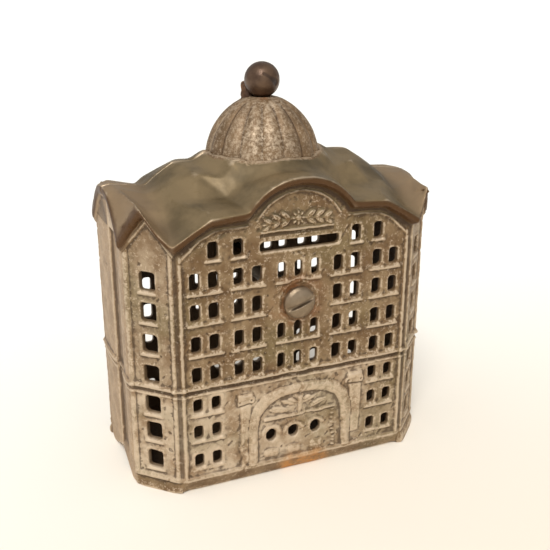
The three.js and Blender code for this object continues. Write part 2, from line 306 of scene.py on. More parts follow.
# The entrance: middle, springing, half width and rise of its arch, then the middle, half width and foot
# of each pilaster, and the middle, half length, half width and turn of each swag
ARCH_X = 1.2
ARCH_SPRING = 14
ARCH_HALF = 16.9
ARCH_RISE = 16.4
PILASTERS = ((-18.3, 2.2, 5.0), (21.3, 2.6, 9.5))
PILASTER_TOP = 33
SWAGS = (((4.9, 26.9), 5.4, 1.5, 27), ((7.6, 24.0), 4.2, 1.2, 15),
         ((-3.4, 26.6), 5.2, 1.5, 155), ((-6.4, 23.8), 4.6, 1.2, 167))

# The thin bead under the left eave, which is mirrored on the right
EAVE_LINE = [(-38.2, 79.5), (-32.2, 85.0), (-27.4, 87.3), (-17.2, 87.6)]


def eave_height(x):
    across = np.abs(x)
    arc = PEDIMENT_CENTRE + np.sqrt(np.maximum(PEDIMENT_RADIUS ** 2 - across ** 2, 0))
    return np.where(across < PEDIMENT_HALF, arc, np.interp(across, EAVE_X, EAVE_Z))


def ledge(u, v, centre, half, top):
    """A narrow shelf with a shadow under it."""
    ends = 1 - ease(np.abs(u - centre), half - 0.7, half + 0.2)
    return ends * np.interp(v - top, LEDGE_ABOVE, LEDGE_OUT)


def leaf(u, v, centre, length, width, turn):
    """A pointed leaf with a vein, lying at an angle."""
    c, s = math.cos(math.radians(turn)), math.sin(math.radians(turn))
    along = (u - centre[0]) * c + (v - centre[1]) * s
    across = (v - centre[1]) * c - (u - centre[0]) * s
    reach = np.clip(1 - (along / length) ** 2, 0, 1)
    body = np.clip(1 - (across / (width * reach + 1e-6)) ** 2, 0, 1) * (reach > 0.02)
    return 0.75 * np.sqrt(body) * np.sqrt(reach) - 0.22 * bump(across, 0.25) * body


def ornament(u, v):
    """A rosette between laurel leaves, in place of lettering."""
    middle, level = ORNAMENT
    radius = np.hypot(u - middle, v - level)
    angle = np.arctan2(v - level, u - middle)
    petals = 0.75 + 0.25 * np.cos(angle * 8)
    h = 0.8 * np.clip(1 - (radius / (2.5 * petals)) ** 2, 0, 1) ** 0.5
    h = np.maximum(h, 0.9 * bump(radius, 0.9))
    h -= 0.35 * bump(radius - 1.1, 0.3)
    for side in (-1, 1):
        for step, (out, up, length, turn) in enumerate(LAUREL):
            at = (middle + side * out, level + up)
            lean = turn if side > 0 else 180 - turn
            h = np.maximum(h, leaf(u, v, at, length, 0.95 - 0.04 * step, lean))
        stem = path_distance(u, v, [(middle + side * 2.4, 88.5), (middle + side * 11.4, 87.4)])
        h = np.maximum(h, 0.45 * bump(stem, 0.45))
    return h


def windows():
    """Every window of one facade, as a centre and a half size."""
    found = []
    for side in (-1, 1):
        for row in FULL_ROWS + (SCREW_ROW,):
            found += [((side * x, row), FULL_HALF) for x in PAIRS + INNER]
        for row in LOW_ROWS:
            found += [((side * x, row), LOW_HALF) for x in PAIRS]
        found += [((side * x, ATTIC_ROW), FULL_HALF) for x in ATTIC]
    for row in FULL_ROWS:
        found += [((x, row), TRIPLE_HALF) for x in TRIPLE]
    return found


def sill(u, v, middle, row, size):
    half, under = size
    return ledge(u, v, middle, half, row - under)


def sills(u, v):
    h = np.zeros(u.shape)
    for side in (-1, 1):
        for columns in (PAIRS, INNER):
            middle = side * sum(columns) / 2
            for row in (FULL_ROWS[0], SCREW_ROW, FULL_ROWS[1]):
                h += sill(u, v, middle, row, PAIR_SILL)
        middle = side * sum(PAIRS) / 2
        for row in LOW_ROWS[:2]:
            h += sill(u, v, middle, row, LOW_SILL)
        h += 0.5 * sill(u, v, middle, LOW_ROWS[2], FOOT_SILL)
        for x in ATTIC:
            h += sill(u, v, side * x, ATTIC_ROW, ATTIC_SILL)
    for row in FULL_ROWS[:2]:
        h += sill(u, v, 0, row, TRIPLE_SILL)
    return h


def window_edges(u, v):
    """Low worn rims round the windows, and the lump of metal at each lower right corner."""
    h = np.zeros(u.shape)
    for centre, half in windows():
        near = (np.abs(u - centre[0]) < half[0] + 2.5) & (np.abs(v - centre[1]) < half[1] + 2.5)
        d = box_distance(u[near], v[near], centre, half)
        rim = 0.12 * bump(d - 0.5, 0.7)
        right = u[near] - centre[0] - half[0] - 0.2
        over = v[near] - centre[1] + half[1] + 0.5
        lump = 0.35 * np.exp(-(right ** 2 + over ** 2) / 0.3)
        h[near] = np.maximum(h[near], rim + lump)
    return h


def pilasters(x, z):
    """The two pilasters beside the arch, with their capitals."""
    out = np.zeros(x.shape)
    for middle, half, low in PILASTERS:
        shaft = box_distance(x, z, (middle, (low + PILASTER_TOP) / 2), (half, (PILASTER_TOP - low) / 2), 0.3)
        out = np.maximum(out, 0.5 * ease(-shaft, 0, 0.9))
        capital = box_distance(x, z, (middle, 31.3), (half + 0.6, 1.7), 0.7)
        out = np.maximum(out, 0.8 * ease(-capital, 0, 0.9))
        for side in (-1, 1):
            curl = np.hypot(x - middle - side * (half - 0.2), z - 29.6)
            out = np.maximum(out, 0.7 * bump(curl - 0.75, 0.6))
        out -= 0.45 * bump(z - 32.3, 0.4) * (capital < 0)
        out -= 0.45 * bump(z - 28.2, 0.5) * (shaft < 0)
    return out


def doorways(x, z):
    """The sunken field inside the arch: swags over a transom, and three doorways under it."""
    field = np.full(x.shape, -0.45)
    for centre, length, width, turn in SWAGS:
        field = np.maximum(field, 1.35 * leaf(x, z, centre, length, width, turn) - 0.35)
    key = path_distance(x, z, [(1.0, 22.5), (1.2, 28.6)])
    field = np.maximum(field, 0.55 * bump(key, 1.1) - 0.1)
    field += 1.1 * ledge(x, z, 1.0, 14.6, 20.8)
    for x0 in DOORS:
        hood = bump(np.hypot(x - x0, z - DOOR_Z) - 3.1, 1.1) * ease(z, DOOR_Z - 1.5, DOOR_Z + 1.5)
        field = np.maximum(field, 0.6 * hood - 0.2)
        cushion = box_distance(x, z, (x0, 8.4), (3.3, 2.3), 1.9)
        field = np.maximum(field, 0.75 * ease(-cushion, -0.2, 1.8) - 0.25)
    for x0 in (13.2, 15.4):
        beads = 0.55 + 0.45 * np.sin(z * 4.1 + x0)
        field = np.maximum(field, 0.8 * beads * bump(x - x0, 1.0) * (z < 20) - 0.3)
    return field


def entrance(u, v):
    """The arched entrance between its pilasters, its lines a little uneven as cast."""
    inside = (np.abs(u - 1.5) < 25) & (v < 36)
    h = np.zeros(u.shape)
    x, z = u[inside], v[inside]
    at = np.stack([x, np.zeros(x.shape), z], 1)
    x = x + 0.35 * noise(at, 3.4, 65)
    z = z + 0.3 * noise(at, 2.8, 66)
    foot = ease(z, 5.0, 5.8)
    out = pilasters(x, z)
    out -= 0.5 * bump(x + 15.7, 0.5) * foot * (1 - ease(z, 17, 19))
    out -= 0.6 * bump(x - 18.6, 0.5) * ease(z, 9, 10) * (1 - ease(z, 29, 30))
    # the arch: a flattened round head on upright legs
    across = np.abs((x - ARCH_X) / ARCH_HALF)
    rise = np.maximum((z - ARCH_SPRING) / ARCH_RISE, 0)
    away = ((across ** 3 + rise ** 3) ** (1 / 3) - 1) * ARCH_HALF
    band = np.interp(away, ARCH_AWAY, ARCH_OUT)
    on_band = (away > ARCH_AWAY[0]) & (away < ARCH_AWAY[-1])
    out = np.where(on_band, np.maximum(band, band + out * 0.3), out)
    out = np.where(away < ARCH_AWAY[0], doorways(x, z), out)
    # the eaten, lumpy metal round the feet of the arch
    left_foot = 1 - ease(np.hypot((x + 16.6) / 5.0, (z - 9.5) / 8.0), 0.6, 1)
    right_foot = 1 - ease(np.hypot((x - 15) / 4.5, (z - 12) / 8.5), 0.6, 1)
    out += left_foot * 0.5 * noise(at, 1.3, 41)
    out += right_foot * 0.5 * noise(at, 1.2, 42)
    h[inside] = (out + 0.12 * noise(at, 2.4, 43)) * foot
    return h


def facade_relief(u, v, front):
    """Relief of a facade, over its middle at u = 0; the lines wander slightly, as in a worn pattern."""
    at = np.stack([u, np.zeros(u.shape), v], 1)
    u = u + 0.14 * noise(at, 4, 61) + 0.05 * noise(at, 1.3, 62)
    v = v + 0.18 * noise(at, 5, 63) + 0.07 * noise(at, 1.5, 64)
    across = np.abs(u)
    under_eave = eave_height(u) - COVE
    below = 1 - ease(v, under_eave - 1.4, under_eave - 0.2)
    upright = ease(v, PLINTH_TOP, PLINTH_TOP + 1) * (1 - ease(v, under_eave - 2.6, under_eave - 1.4))
    h = sills(u, v) + window_edges(u, v)
    h = np.where((v < 35.5) & (v > 4.8) & (np.abs(u - 1.7) < 22.6), entrance(u, v), h)
    h += upright * 0.55 * bump(across - EDGE_BEAD, 0.75)
    h -= upright * (0.6 * bump(across - INNER_GROOVE, 0.6) + 0.5 * bump(across - OUTER_GROOVE, 0.8))
    h = eave_beads(u, v, h)
    h = np.maximum(h, ornament(u, v) * (np.abs(v - ORNAMENT[1]) < 5))
    h += 0.7 * ledge(u, v, -0.5, 12.6, 84.9)
    if front:
        ring = np.hypot(u, v - SCREW_Z)
        h = np.where(ring < SCREW_RING + 0.7, 0.15 * bump(ring - SCREW_RING, 0.5), h)
        slot = box_distance(u, v, SLOT_CENTRE, SLOT_HALF, 0.7)
        h = np.where(slot < 1.5, 0.16 * bump(slot - 0.4, 0.7), h)
    else:
        recess = box_distance(u, v, (0, SCREW_Z), NUT_RECESS_HALF, 0.8)
        h = np.where(recess < 1.8, 0.35 * bump(recess - 0.5, 0.9), h)
    plinth = np.interp(v, PLINTH_Z, PLINTH_OUT) * (1 - 0.6 * ease(across, 37.5, 40))
    return h * below + np.interp(v, CORNICE_Z, CORNICE_OUT) + plinth


def eave_beads(u, v, h):
    """Adds the thin bead that follows the eave, and the one that follows the pediment's arc."""
    line = path_distance(u, v, EAVE_LINE)
    line = np.minimum(line, path_distance(-u, v, EAVE_LINE))
    radius = np.hypot(u, v - PEDIMENT_CENTRE)
    arc = np.where(v > 88.5, np.abs(radius - PEDIMENT_RADIUS + 4.9), 9)
    away = np.minimum(line, arc)
    return np.maximum(h, 0.42 * bump(away, 0.6)) - 0.3 * bump(away - 1.1, 0.45)


def gable_height(s):
    """Height of the lower side of a corner gable's lip; s runs along the corner wall."""
    away = np.abs(s - CORNER_WALL / 2)
    return GABLE_TOP - np.interp(away, (0, 3.6, CORNER_WALL / 2), (0, 4.2, 10.0)) - COVE


def corner_relief(s, v, flare):
    """Relief of a corner wall; s runs from the facade's corner to the side's."""
    h = np.zeros(s.shape)
    for row in FULL_ROWS + (SCREW_ROW,) + LOW_ROWS:
        d = box_distance(s, v, (CORNER_ALONG, row), CORNER_HALF, 0.6)
        h = np.maximum(h, 0.12 * bump(d - 0.6, 0.6))
        if row != FULL_ROWS[2]:
            h += sill(s, v, CORNER_ALONG, row, CORNER_SILL) * 0.9
    gable = gable_height(s)
    far = s - CORNER_WALL
    upright = ease(v, PLINTH_TOP, PLINTH_TOP + 1) * (1 - ease(v, gable - 1.4, gable - 0.2))
    beads = 0.6 * bump(s - 1.4, 0.9) + 0.6 * bump(far + 0.8, 1.3)
    grooves = 0.45 * bump(s - 2.8, 0.5) + 0.25 * bump(far + 2.7, 0.6) + 0.5 * bump(s, 0.7)
    h += upright * (beads - grooves)
    h = h * (1 - ease(v, gable - 1.2, gable - 0.2))
    h = np.maximum(h, 0.7 * bump(v - gable + 0.1, 0.9) * (v > 78))
    foot = np.interp(v, FOOT_Z, FOOT_OUT) * ease(s, -0.4, 1.6)
    return h + np.interp(v, CORNICE_Z, CORNICE_OUT) + np.where(v < 4.2, flare, 1) * foot


def side_relief(from_seam, v, front):
    """Relief of half of a side wall; the front half is sunk between the seam and the roll at its corner."""
    half = HALF_DEPTH - CORNER_RUN
    upright = ease(v, 6.0, 9.0) * (1 - ease(v, 82, 86))
    if front:
        sunk = ease(from_seam, 0.5, 1.3) * (1 - ease(from_seam, 7.5, 10))
        h = upright * (0.4 * bump(from_seam - half + 2.6, 4.2) - sunk)
    else:
        h = upright * 0.3 * bump(from_seam - half / 2, half / 2)
    return h + np.interp(v, CORNICE_Z, CORNICE_OUT) * 0.8


# ---------------------------------------------------------------- the shells

DIAGONAL = math.sqrt(0.5)
CORNER_REACH = (FACADE_HALF + HALF_DEPTH) * DIAGONAL
SIDE_Y = CORNER_RUN - HALF_DEPTH
DOME_MIDDLE = np.array([0, 0, DOME_CENTRE])

# Each wall of a half: its outward direction and its distance from the axis
WALLS = {
    "facade": (np.array([0, -1, 0]), HALF_DEPTH),
    "corner_right": (np.array([DIAGONAL, -DIAGONAL, 0]), CORNER_REACH),
    "corner_left": (np.array([-DIAGONAL, -DIAGONAL, 0]), CORNER_REACH),
    "side_right": (np.array([1, 0, 0]), SIDE_HALF),
    "side_left": (np.array([-1, 0, 0]), SIDE_HALF),
}

# How strongly the foot of a corner wall flares, and how much more so on the right than on the left
FOOT_FLARE = 0.9
FOOT_LEAN = 0.6

# The dome: depth of the grooves between its gadroons, and where they begin, in degrees of elevation
GROOVE = 0.95
GADROON_FOOT = 3

# The collar of metal round the foot of the dome
COLLAR_RISE = 2.7
COLLAR_REACH = 6.5


def half_turn(front):
    """The signs that turn points of the back half to where the front half is, and back again."""
    return np.array([1, 1, 1]) if front else np.array([-1, -1, 1])


def flatten_mouldings(points):
    """Brings the plain bands of the lower walls back to the wall planes."""
    low = points[:, 2] < 60
    for _ in range(2):
        for outward, reach in WALLS.values():
            proud = np.maximum(points @ outward - reach, 0) * low
            points = points - proud[:, None] * outward
    return points


def wall_relief(points, front):
    """Height of the relief over every point, its wall's outward direction, and how near it is to the face."""
    x, y, z = points.T
    height = np.zeros(len(points))
    toward = np.zeros((len(points), 3))
    near = np.zeros(len(points))
    depth = {name: points @ outward - reach for name, (outward, reach) in WALLS.items()}
    wall = np.array(list(depth))[np.argmax(np.stack(list(depth.values())), 0)]
    for name, (outward, _) in WALLS.items():
        here = wall == name
        side = -1 if name.endswith("left") else 1
        if name == "facade":
            height[here] = facade_relief(x[here], z[here], front)
        elif name.startswith("corner"):
            s = (side * x[here] - FACADE_HALF + y[here] + HALF_DEPTH) * DIAGONAL
            height[here] = corner_relief(s, z[here], FOOT_FLARE + FOOT_LEAN * side)
        else:
            height[here] = side_relief(-y[here], z[here], front)
        near[here] = ease(depth[name][here], -WALL, -0.5)
        toward[here] = outward
    return height, toward, near


def dome_radius(azimuth, elevation):
    """Radius of the dome: raised gadroons with round ends, under a plain cap."""
    step = 2 * math.pi / FLUTES
    offset = (azimuth % step - step / 2) / (step / 2)
    foot = np.clip((elevation - math.radians(GADROON_FOOT)) / math.radians(8), 0, 1)
    fill = np.clip(1 - (1 - foot) ** 3, 0, 1) ** 0.4
    lobe = np.clip(1 - np.abs(offset / np.maximum(fill, 0.05)) ** 2, 0, 1) ** 0.7
    cap = ease(elevation, math.radians(52), math.radians(76))
    raised = GROOVE * np.maximum(lobe * (foot > 0), cap)
    return DOME_RADIUS - GROOVE + raised + CAP_RISE * np.sin(elevation) ** 5


def shape_dome(points):
    """Moves the outer face of the dome to its gadroons, and says which points lie on it."""
    centred = points - DOME_MIDDLE
    radius = np.maximum(np.linalg.norm(centred, axis=1), 1e-6)
    azimuth = np.arctan2(centred[:, 0], -centred[:, 1])
    elevation = np.arcsin(np.clip(centred[:, 2] / radius, -1, 1))
    blank = DOME_RADIUS + CAP_RISE * np.sin(elevation) ** 5
    outer = (radius > blank - 1.5) & (radius < blank + 0.5) & (centred[:, 2] > 0)
    share = ease(elevation, math.radians(0.5), math.radians(GADROON_FOOT))
    share *= ease(np.hypot(centred[:, 0], centred[:, 1]), 4.6, 6.2) * outer
    moved = centred * (dome_radius(azimuth, elevation) / radius)[:, None]
    return points + share[:, None] * (moved - centred), outer


def raise_collar(mesh, points, facing):
    """The roof's metal swells up a little where it meets the foot of the dome."""
    reach = np.hypot(points[:, 0], points[:, 1])
    on_roof = ease(facing[:, 2], 0.3, 0.6) * (reach > DOME_RADIUS - 1.2) * (points[:, 2] > 92)
    collar = on_roof * (1 - ease(reach, DOME_RADIUS, DOME_RADIUS + COLLAR_REACH))
    points = points + np.array([0, 0, COLLAR_RISE]) * collar[:, None]
    return smooth(mesh, points, 0.8 * (collar > 0.02), 8)


def near_edges(points, reach):
    """1 at the upright edges between the outer walls, 0 from reach outwards."""
    across, back = np.abs(points[:, 0]), -points[:, 1]
    first = np.hypot(across - FACADE_HALF, back - HALF_DEPTH)
    second = np.hypot(across - SIDE_HALF, back - HALF_DEPTH + CORNER_RUN)
    return 1 - ease(np.minimum(first, second), 0.4 * reach, reach)


def meet(points):
    """Depth of every point once the seam edge is brought close to the other shell's, along a slightly
    wandering line."""
    wander = 0.22 * np.sin(0.13 * points[:, 0] + 0.6) * np.sin(0.11 * points[:, 2] + 0.3)
    share = 1 - ease(np.maximum(-points[:, 1], 0), 0.3, 2.5)
    return points[:, 1] + share * (SEAM_CLOSED + wander)


def soften(mesh, points, facing):
    """Rounds the roof, the lip, the upright edges and the foot, and takes the saw edge off the rest."""
    inset = LIP_Y + points[:, 1]
    roof = ease(facing[:, 2], 0.15, 0.4) * ease(points[:, 2], 83, 84.5) * ease(inset, 0.3, 1.8)
    sides = ease(SIDE_HALF + 1.5 - np.abs(points[:, 0]), 0.2, 1.2)
    points = smooth(mesh, points, roof * sides, 9)
    proud = depth_in(points)
    lip = ease(proud, 0.1, 0.8) * ease(points[:, 2], 78, 80)
    points = smooth(mesh, points, np.maximum(lip * 0.8, near_edges(points, 2.0)), 10)
    foot = near_edges(points, 3.5) * (1 - ease(points[:, 2], 6, 8)) * ease(proud, -1.5, -0.5)
    points = smooth(mesh, points, foot, 16)
    points = raise_collar(mesh, points, facing)
    return smooth_all(mesh, points, 0.7, 3)


def relief_top(points, toward):
    """Height up to which the relief reaches: the lip over the facade, the gables and the sides."""
    along = (np.abs(points[:, 0]) - FACADE_HALF + points[:, 1] + HALF_DEPTH) * DIAGONAL
    on_corner = (toward[:, 1] < 0) & (toward[:, 1] > -1)
    top = np.where(on_corner, gable_height(along) + 0.9, 84)
    return np.where(toward[:, 1] == -1, eave_height(points[:, 0]) - COVE + 0.4, top)


def add_relief(points, facing, on_dome, front):
    """Adds the walls' relief, grain and pits, and a slight unevenness to the roof."""
    height, toward, near = wall_relief(points, front)
    share = near * (points[:, 2] < relief_top(points, toward)) * ~on_dome
    calm = np.where(np.abs(toward[:, 0]) == 1, 0.35, 1.0)
    grain = calm * (0.07 * noise(points, 0.9, 3) + 0.10 * noise(points, 2.2, 5))
    pits = -0.22 * calm * ease(noise(points, 1.5, 9), 0.55, 0.8)
    texture = share * (grain + pits) * ease(points[:, 2], 2.0, 5.0)
    points = points + toward * (share * height + texture)[:, None]
    outside = (facing[:, 2] > 0.1) & (points[:, 2] > 84)
    swell = outside * (0.1 * noise(points, 9, 12) + 0.02 * noise(points, 1.6, 13))
    return points + facing * swell[:, None]


def shell(node, front):
    """One cast half: its CAD solid, softened, with the dome, the relief and the seam worked in."""
    piece = working_copy(node, node + "_casting")
    turn = half_turn(front)
    set_coords(piece.data, flatten_mouldings(coords(piece.data) * turn) * turn)
    remesh(piece, SHELL_VOXEL)
    mesh = piece.data
    facing = normals(mesh) * turn
    points = soften(mesh, coords(mesh) * turn, facing)
    points, on_dome = shape_dome(points)
    points = add_relief(points, facing, on_dome, front)
    points[:, 1] = meet(points)
    set_coords(mesh, points * turn)
    thin_out(piece, SHELL_TRIANGLES)
    store_finish(piece.data, front)
    close_piece(piece, "front_half" if front else "back_half", node)
    return piece


def curvature(mesh, points, facing):
    """How far every point stands out from the mean of its surroundings, near and wider."""
    point, neighbour = neighbours(mesh)
    count = np.maximum(np.bincount(point, minlength=len(points)), 1)
    spread = points
    out = []
    for _ in range(8):
        spread = neighbour_sum(point, neighbour, spread) / count[:, None]
        out.append(((points - spread) * facing).sum(1))
    return 1.3 * out[1] + 0.9 * out[-1]


def store_finish(mesh, front):
    """Stores what the finish depends on: how raised each point is, the painted shade, and where it lies."""
    turn = half_turn(front)
    points = coords(mesh) * turn
    facing = normals(mesh) * turn
    x, y, z = points.T
    across = np.abs(x)
    proud = depth_in(points)

    height, toward, near = wall_relief(points, front)
    telling = near * np.where(np.abs(toward[:, 0]) == 1, 0.06, 0.26) * (z > 4.0) * (z < 86)
    # the relief's own height is added, so the colour paints light on high relief and shade on sunken relief
    raised = 0.5 + curvature(mesh, points, facing) + telling * np.clip(height, -0.9, 0.5)
    attribute(mesh, "raised", np.clip(raised, 0, 1))

    reveal = ease(-proud, 0.3, 0.8) * (1 - ease((facing * toward).sum(1), 0.25, 0.6))
    reveal *= ease(z, 7.5, 8.0) * (1 - ease(z, 84, 85))
    inner = np.maximum(inside_share(points), 0.85 * reveal)
    attribute(mesh, "inside", inner)

    on_dome = np.linalg.norm(points - DOME_MIDDLE, axis=1) < DOME_RADIUS + CAP_RISE + 0.3
    on_dome &= z > DOME_CENTRE + 1.5
    attribute(mesh, "dome", on_dome * (1.0 - inner))

    on_lip = ease(proud, 0.5, 1.2) * ease(z, 78, 80)
    tiles = ease(facing[:, 2], 0.0, 0.3) * ease(z, 83, 85)
    attribute(mesh, "roof", np.where(on_dome, 0, np.maximum(tiles, on_lip)) * (1 - inner))
    attribute(mesh, "lip", on_lip * (1 - ease(facing[:, 2], 0.35, 0.75)) * (1 - inner))

    facade = across < FACADE_HALF
    # the band under the eave lip is painted shadow and the side's sunken channel gets painted shade; the
    # strip by the upright edges is worn brown
    cove_shadow = bump(z - eave_height(x) + COVE - 0.4, 2.6) * (proud > -0.6) * facade
    edge_strip = 0.5 * near_edges(points, 1.0) * (z < 82) * (z > 6) * (y < -24)
    channel_shade = ease(-y, 0.8, 1.8) * (1 - ease(-y, 5.0, 10.5)) * front
    channel_shade *= ease(across, SIDE_HALF - 1.6, SIDE_HALF - 1.2) * (1 - ease(z, 66, 84))
    attribute(mesh, "shade", np.maximum(np.maximum(cove_shadow, edge_strip), 0.3 * channel_shade))

    lower = (1 - ease(z, 34.5, 36)) * ease(z, 4, 6) * (1 - 0.55 * ease(x, 23, 29))
    attribute(mesh, "pale", np.where(facade, lower, np.maximum(lower, 0.42 * ease(z, 4, 6))))
    plain = ease(across, SIDE_HALF - 1.7, SIDE_HALF - 1.2)
    attribute(mesh, "plain", plain * ease(y, SIDE_Y - 0.8, SIDE_Y))


def depth_in(points):
    """How far each point stands out of the nearest wall plane, negative inside the walls."""
    return np.max(np.stack([points @ outward - reach for outward, reach in WALLS.values()]), 0)


def inside_share(points):
    """1 on the inner faces of the shell, 0 outside."""
    walls = 1 - ease(depth_in(points), -WALL + 0.2, -1.3)
    in_dome = np.linalg.norm(points - DOME_MIDDLE, axis=1) < DOME_RADIUS - 1.6
    in_dome &= (np.hypot(points[:, 0], points[:, 1]) < 16.5) & (points[:, 2] > 82)
    return np.where(points[:, 2] < 82, walls * ease(points[:, 2], 0.5, 1.5), in_dome)


# ---------------------------------------------------------------- the small pieces

SHANK_RADIUS = 3.1
THREAD_PITCH = 1.27
THREAD_DEPTH = 0.42
THREAD_FROM = 8
CHAMFER_FROM = 5.3
CHAMFER = 28
BALL_CENTRE = np.array([0, 0, 126.4])
BALL_RADIUS = 5.7
FOLD_ENDS = np.array([[-0.223, -0.888, 0.403], [0.496, -0.866, -0.071]])


def screw():
    """The screw, with its thread cut into the shank and its head a little uneven."""
    piece = working_copy("assembly_screw", "screw_worn")
    remesh(piece, SCREW_VOXEL)
    points = smooth_all(piece.data, coords(piece.data), 0.8, 4)
    across = np.hypot(points[:, 0], points[:, 2] - SCREW_Z)
    angle = np.arctan2(points[:, 2] - SCREW_Z, points[:, 0])
    threaded = (np.abs(across - SHANK_RADIUS) < 0.3) & (points[:, 1] > THREAD_FROM)
    phase = (points[:, 1] / THREAD_PITCH + angle / (2 * math.pi)) % 1
    cut = THREAD_DEPTH * np.abs(2 * phase - 1) * ease(points[:, 1], THREAD_FROM, THREAD_FROM + 2)
    shrink = np.where(threaded, (across - cut) / np.maximum(across, 1e-6), 1)
    points[:, 0] *= shrink
    points[:, 2] = SCREW_Z + (points[:, 2] - SCREW_Z) * shrink
    head = points[:, 1] < -HALF_DEPTH
    points[:, 1] += head * (0.05 * noise(points, 1.4, 21) + 0.1 * noise(points, 4, 22))
    set_coords(piece.data, points)
    close_piece(piece, "screw", "assembly_screw")
    return piece


def nut():
    """The square nut, with the corners of its outer face chamfered."""
    piece = working_copy("square_nut", "nut_square")
    remesh(piece, NUT_VOXEL)
    points = smooth_all(piece.data, coords(piece.data), 0.8, 3)
    across = np.hypot(points[:, 0], points[:, 2] - SCREW_Z)
    chamfer = np.maximum(across - CHAMFER_FROM, 0) * math.tan(math.radians(CHAMFER))
    points[:, 1] = np.minimum(points[:, 1], points[:, 1].max() - chamfer) + 0.04 * noise(points, 1.2, 31)
    set_coords(piece.data, points)
    close_piece(piece, "back_half", "square_nut")
    return piece


def ball_mark(points):
    """How deep each point lies in the cold shut, the slanting fold left in the metal of the ball."""
    direction = (points - BALL_CENTRE) / BALL_RADIUS
    start, end = FOLD_ENDS
    run = end - start
    t = np.clip(((direction - start) @ run) / (run @ run), 0, 1)
    away = np.linalg.norm(direction - start - t[:, None] * run, axis=1)
    return (1 - ease(away / (0.45 + 0.55 * t), 0.1, 0.26)) * (0.5 + 0.5 * t)


def ball():
    """The ball on the dome, with the fold in its metal and the broken stub of its gate."""
    piece = working_copy("finial_ball", "finial_ball_worn")
    remesh(piece, BALL_VOXEL)
    points = coords(piece.data)
    offset = points - BALL_CENTRE
    radius = np.linalg.norm(offset, axis=1)
    round_part = np.abs(radius - BALL_RADIUS) < 0.35
    points = np.where(round_part[:, None], BALL_CENTRE + offset / radius[:, None] * BALL_RADIUS, points)
    points = smooth_all(piece.data, points, 0.7, 5)
    lug = ~round_part & (points[:, 1] > 1.3)
    outward = normals(piece.data)
    swell = lug * (0.3 + 0.35 * noise(points, 1.5, 51) + 0.2 * noise(points, 0.7, 52))
    points += outward * swell[:, None]
    dent = round_part * (0.05 * noise(points, 3.2, 53) + 0.02 * noise(points, 1.0, 54))
    points += outward * (dent - round_part * 0.35 * ball_mark(points))[:, None]
    set_coords(piece.data, points)
    attribute(piece.data, "lug", ease(points[:, 1], 2.0, 3.6) * (1 - ease(points[:, 2], 125, 128)))
    attribute(piece.data, "mark", ball_mark(points))
    close_piece(piece, "back_half", "finial_ball")
    return piece


# ---------------------------------------------------------------- materials

def linear(r, g, b):
    """A colour given as it looks on a screen, 0 to 255."""
    def one(value):
        c = value / 255
        return c / 12.92 if c <= 0.04045 else ((c + 0.055) / 1.055) ** 2.4
    return (one(r), one(g), one(b), 1)


def set_range(node, low, high, to_low, to_high):
    sockets = ("From Min", "From Max", "To Min", "To Max")
    for socket, number in zip(sockets, (low, high, to_low, to_high)):
        node.inputs[socket].default_value = number


class Nodes:
    """A small helper that makes and links the nodes of one material."""

    def __init__(self, name):
        self.material = bpy.data.materials.new(name)
        self.material.use_nodes = True
        self.tree = self.material.node_tree
        self.shader = self.tree.nodes["Principled BSDF"]
        self.place = self.tree.nodes.new("ShaderNodeTexCoord").outputs["Object"]

    def link(self, value, socket):
        if isinstance(value, bpy.types.NodeSocket):
            self.tree.links.new(value, socket)
        else:
            socket.default_value = value

    def noise(self, scale, detail=4, rough=0.6):
        node = self.tree.nodes.new("ShaderNodeTexNoise")
        node.inputs["Scale"].default_value = scale
        node.inputs["Detail"].default_value = detail
        node.inputs["Roughness"].default_value = rough
        self.link(self.place, node.inputs["Vector"])
        return node.outputs["Fac"]

    def attribute(self, name):
        node = self.tree.nodes.new("ShaderNodeAttribute")
        node.attribute_name = name
        return node.outputs["Fac"]

    def math(self, operation, a, b=0.0, clamp=False):
        node = self.tree.nodes.new("ShaderNodeMath")
        node.operation = operation
        node.use_clamp = clamp
        self.link(a, node.inputs[0])
        self.link(b, node.inputs[1])
        return node.outputs[0]

    def times(self, first, *others):
        for other in others:
            first = self.math("MULTIPLY", first, other)
        return first

    def span(self, value, low, high, to_low=0.0, to_high=1.0):
        """Eases from to_low to to_high as the value goes from low to high."""
        node = self.tree.nodes.new("ShaderNodeMapRange")
        node.interpolation_type = "SMOOTHSTEP"
        self.link(value, node.inputs["Value"])
        set_range(node, low, high, to_low, to_high)
        return node.outputs["Result"]

    def mix(self, share, a, b):
        node = self.tree.nodes.new("ShaderNodeMix")
        node.data_type = "RGBA"
        self.link(share, node.inputs["Factor"])
        self.link(a, node.inputs["A"])
        self.link(b, node.inputs["B"])
        return node.outputs["Result"]

    def axis(self, index):
        node = self.tree.nodes.new("ShaderNodeSeparateXYZ")
        self.link(self.place, node.inputs[0])
        return node.outputs[index]

    def bump(self, height, strength, distance):
        node = self.tree.nodes.new("ShaderNodeBump")
        node.inputs["Strength"].default_value = strength
        node.inputs["Distance"].default_value = distance
        self.link(height, node.inputs["Height"])
        self.link(node.outputs["Normal"], self.shader.inputs["Normal"])

    def near(self, centre, radius):
        """1 at a place, 0 from radius outwards, in metres."""
        node = self.tree.nodes.new("ShaderNodeVectorMath")
        node.operation = "DISTANCE"
        self.link(self.place, node.inputs[0])
        node.inputs[1].default_value = centre
        return self.span(node.outputs["Value"], 0.25 * radius, radius, 1.0, 0.0)

    def near_any(self, places):
        """1 at either of two places, 0 away from both."""
        first, second = places
        return self.math("ADD", self.near(*first), self.near(*second), True)

    def blotches(self, scale, detail, low, high, least, most):
        """Patches of noise, eased from least to most."""
        return self.span(self.noise(scale, detail), low, high, least, most)
